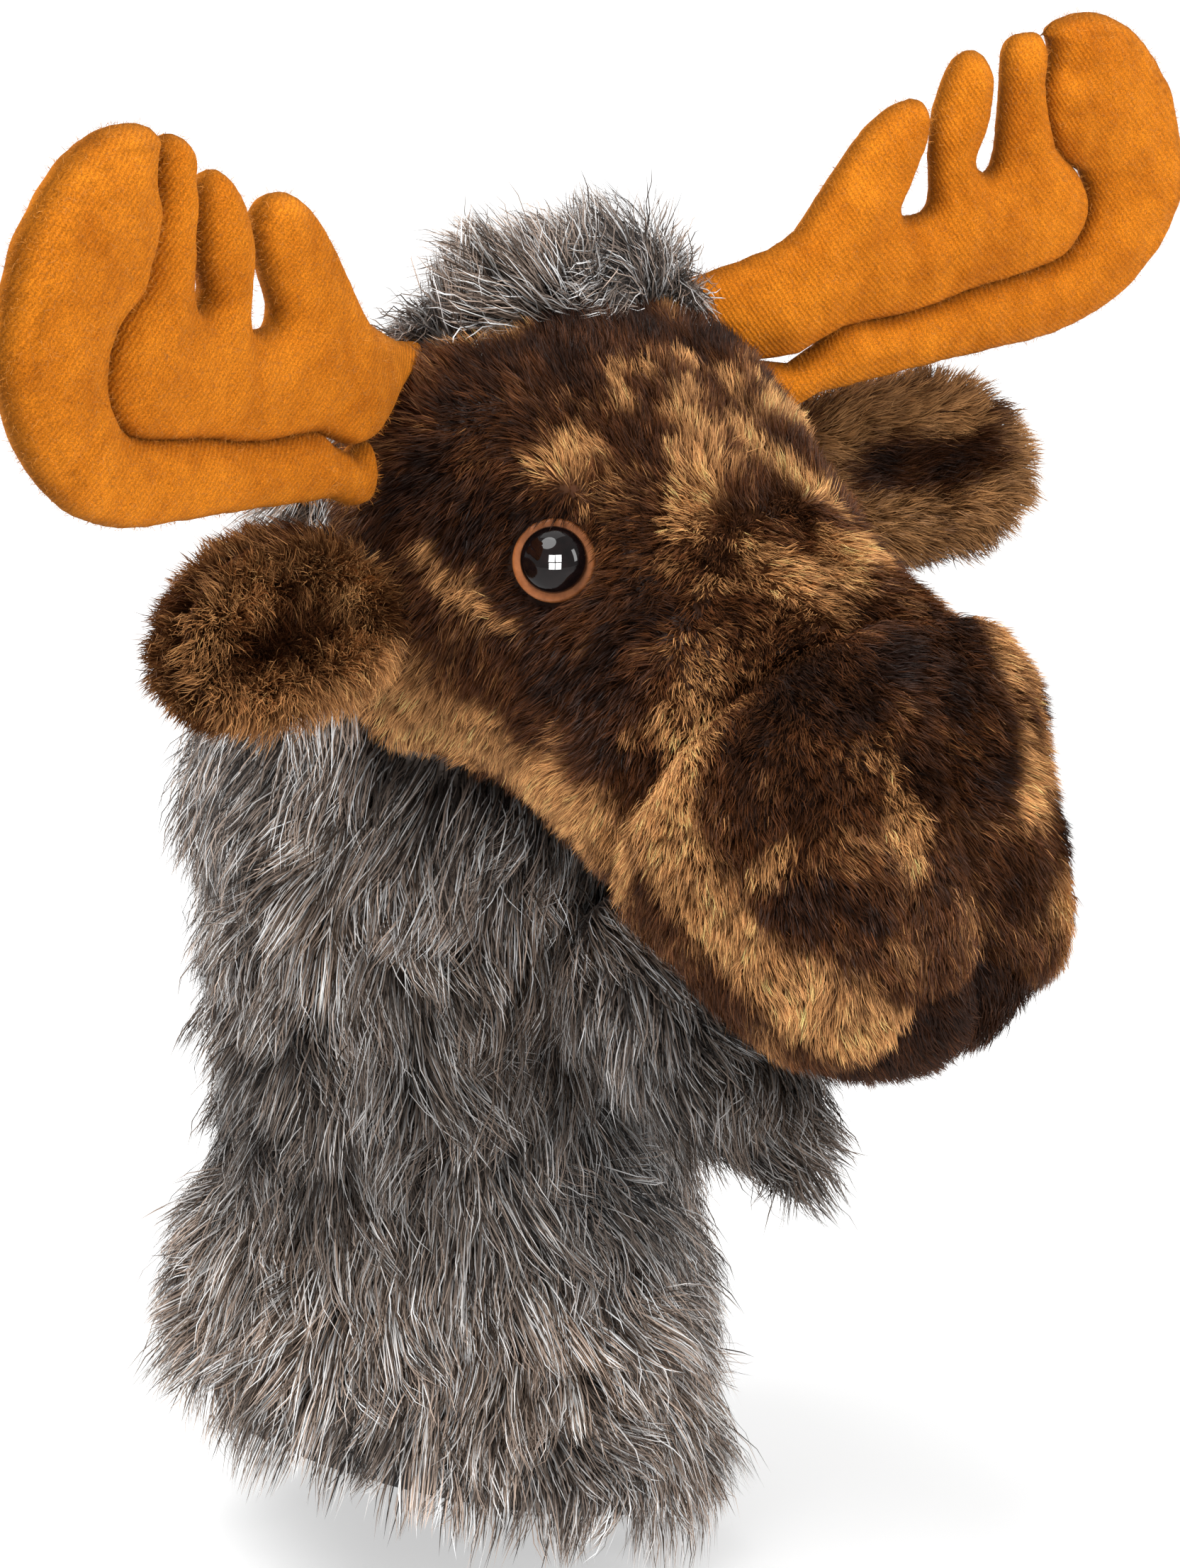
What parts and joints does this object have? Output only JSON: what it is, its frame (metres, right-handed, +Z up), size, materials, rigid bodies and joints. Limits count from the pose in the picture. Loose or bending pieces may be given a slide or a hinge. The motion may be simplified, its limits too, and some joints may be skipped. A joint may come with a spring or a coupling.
{
  "type": "driver head cover",
  "caption": "Plush moose-head cover with a lined long-pile neck sock that slips over a golf driver and protects its head.",
  "frame": {"origin": "middle of the inner pocket's ceiling, where the top of the club head rests, on the neck axis", "axes": "+Z up along the neck axis, -Y the way the moose faces, -X the moose's right side"},
  "size_m": [0.4414, 0.2768, 0.4274],
  "materials": {
    "grey_fur": "long silver-tipped grey pile",
    "brown_pile": "short brown pile with lighter patches",
    "tan_pile": "short tan pile with dark patches",
    "dark_pile": "short dark brown pile",
    "felt": "ochre wool felt",
    "fibre": "polyester stuffing",
    "liner": "knitted lining",
    "elastic": "woven elastic",
    "binding": "folded tape",
    "black_gloss": "polished black",
    "iris": "satin brown",
    "washer": "natural white"
  },
  "bodies": {
    "head": {"neck_sock_fur": "grey_fur", "nape_fur": "grey_fur", "crown_mane": "grey_fur", "chin_bell": "grey_fur", "nape_fill": "fibre", "inner_liner": "liner", "elastic_band": "elastic", "hem_binding": "binding", "face_panel_left": "brown_pile", "face_panel_right": "brown_pile", "muzzle_panel_left": "tan_pile", "muzzle_panel_right": "tan_pile", "lower_lip_panel": "dark_pile", "head_fill": "fibre", "muzzle_fill": "fibre", "eye_dome_left": "black_gloss", "eye_dome_right": "black_gloss", "eye_rim_left": "iris", "eye_rim_right": "iris", "eye_shank_left": "washer", "eye_shank_right": "washer", "eye_washer_left": "washer", "eye_washer_right": "washer"},
    "antler_left": {"antler_palm_felt_left": "felt", "antler_palm_fill_left": "fibre", "antler_hook_felt_left": "felt", "antler_hook_fill_left": "fibre"},
    "antler_right": {"antler_palm_felt_right": "felt", "antler_palm_fill_right": "fibre", "antler_hook_felt_right": "felt", "antler_hook_fill_right": "fibre"},
    "ear_left": {"ear_back_left": "brown_pile", "ear_front_left": "dark_pile"},
    "ear_right": {"ear_back_right": "brown_pile", "ear_front_right": "dark_pile"}
  },
  "joints": [
    {"name": "antler_left_flex", "type": "hinge", "parent": "head", "child": "antler_left", "pos_m": [0.0822, -0.0573, 0.0855], "axis": [-0.5566, 0.046, 0.8295], "range_deg": [-10, 10], "stiffness_Nm_per_rad": 1.2},
    {"name": "antler_right_flex", "type": "hinge", "parent": "head", "child": "antler_right", "pos_m": [-0.0822, -0.0573, 0.0855], "axis": [0.5566, 0.046, 0.8295], "range_deg": [-10, 10], "stiffness_Nm_per_rad": 1.2},
    {"name": "ear_left_flap", "type": "hinge", "parent": "head", "child": "ear_left", "pos_m": [0.0857, -0.0496, 0.036], "axis": [0.1053, 0.3929, 0.9135], "range_deg": [-15, 20], "stiffness_Nm_per_rad": 0.15},
    {"name": "ear_right_flap", "type": "hinge", "parent": "head", "child": "ear_right", "pos_m": [-0.0857, -0.0496, 0.036], "axis": [-0.1053, 0.3929, 0.9135], "range_deg": [-20, 15], "stiffness_Nm_per_rad": 0.15}
  ]
}
